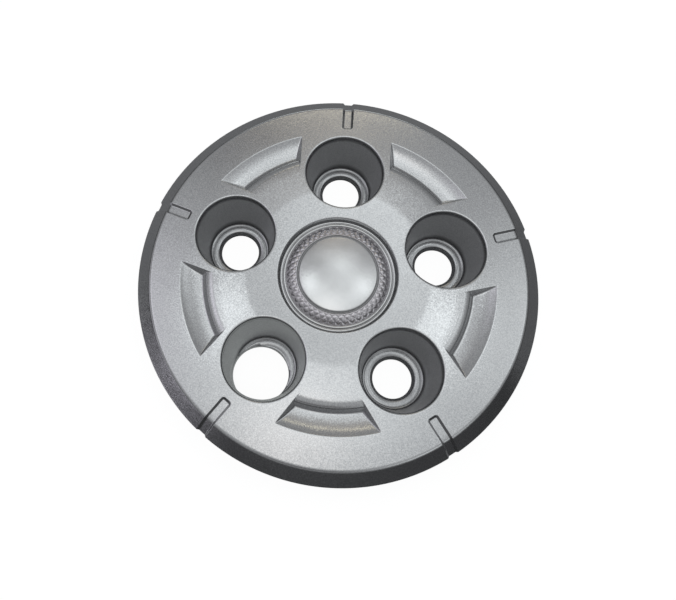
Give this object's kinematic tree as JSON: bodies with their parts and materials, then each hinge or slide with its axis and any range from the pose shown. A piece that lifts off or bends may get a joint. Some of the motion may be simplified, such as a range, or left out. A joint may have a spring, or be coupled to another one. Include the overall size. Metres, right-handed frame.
{
  "type": "wheel centre cap",
  "caption": "Round silver wheel centre cap with bolt pockets, arc-shaped recesses, radial rim slots and a bare round badge in the middle.",
  "frame": {"origin": "middle of the plane that the ends of the five pocket tubes rest on", "axes": "+Z out of the cap's face, +Y through the pocket that is at the top in the picture, +X to its right"},
  "size_m": [0.2132, 0.2132, 0.0354],
  "materials": {
    "silver_shell": "satin silver metallic paint on a moulded plastic shell",
    "badge_silver": "bright silver paint with a faint plum tint",
    "foam_adhesive": "dark grey foam adhesive"
  },
  "bodies": {
    "root": {"cap_shell": "silver_shell", "centre_badge": "badge_silver", "adhesive_ring": "foam_adhesive"}
  },
  "joints": []
}
